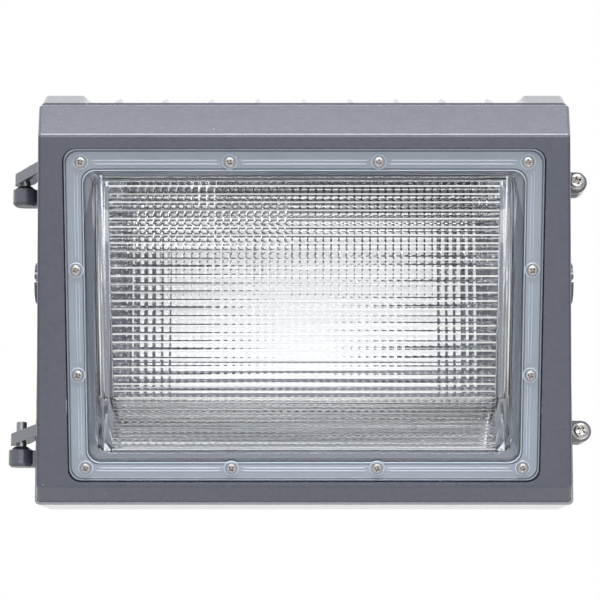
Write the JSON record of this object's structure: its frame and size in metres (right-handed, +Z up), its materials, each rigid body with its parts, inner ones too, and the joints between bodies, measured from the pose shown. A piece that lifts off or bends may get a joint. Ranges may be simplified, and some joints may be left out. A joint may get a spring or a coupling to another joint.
{
  "type": "wall pack light",
  "caption": "Cast outdoor wall pack light with a side-hinged slanted door, a clear prismatic refractor and a flat white LED plate.",
  "frame": {"origin": "centre of the flat face that lies against the wall", "axes": "+X to the right seen from the front, +Y into the wall, +Z up; the light reaches forward to -Y"},
  "size_m": [0.3582, 0.1607, 0.2668],
  "materials": {
    "housing_paint": "satin powder coat",
    "seal_rubber": "matte",
    "silicone": "translucent satin",
    "clear_lens": "clear, prismatic",
    "screw_steel": "bright zinc",
    "pin_steel": "satin",
    "tray_white": "gloss white",
    "board_white": "satin white",
    "chip_resin": "clear resin",
    "driver_aluminium": "extruded",
    "driver_cap_plastic": "matte",
    "terminal_plastic": "satin",
    "terminal_brass": "bright",
    "ground_green": "bright"
  },
  "bodies": {
    "housing": {"rear_housing": "housing_paint", "door_seal": "seal_rubber", "hinge_pin_upper": "pin_steel", "hinge_pin_lower": "pin_steel", "conduit_plugs": "housing_paint", "conduit_seals": "seal_rubber", "gear_tray": "tray_white", "tray_screws": "screw_steel", "wire_grommet": "seal_rubber", "led_board": "board_white", "led_chips": "chip_resin", "board_screws": "screw_steel", "driver_case": "driver_aluminium", "driver_end_caps": "driver_cap_plastic", "driver_screws": "screw_steel", "terminal_block": "terminal_plastic", "terminal_screws": "terminal_brass", "terminal_fixing_screws": "screw_steel", "ground_screw": "ground_green", "ground_washer": "screw_steel"},
    "door": {"door_frame": "housing_paint", "lens_gasket": "silicone", "refractor_lens": "clear_lens", "lens_screws": "screw_steel"},
    "closure_upper": {"closure_screw_upper": "screw_steel", "closure_lock_washer_upper": "screw_steel", "closure_washer_upper": "screw_steel"},
    "closure_lower": {"closure_screw_lower": "screw_steel", "closure_lock_washer_lower": "screw_steel", "closure_washer_lower": "screw_steel"}
  },
  "joints": [
    {"name": "door_swing", "type": "hinge", "parent": "housing", "child": "door", "pos_m": [-0.1745, -0.06, 0], "axis": [0, 0, -1], "range_deg": [0, 120]},
    {"name": "closure_upper_slide", "type": "slide", "parent": "door", "child": "closure_upper", "axis": [0, -1, 0], "range_m": [0, 0.01]},
    {"name": "closure_lower_slide", "type": "slide", "parent": "door", "child": "closure_lower", "axis": [0, -1, 0], "range_m": [0, 0.01]}
  ]
}
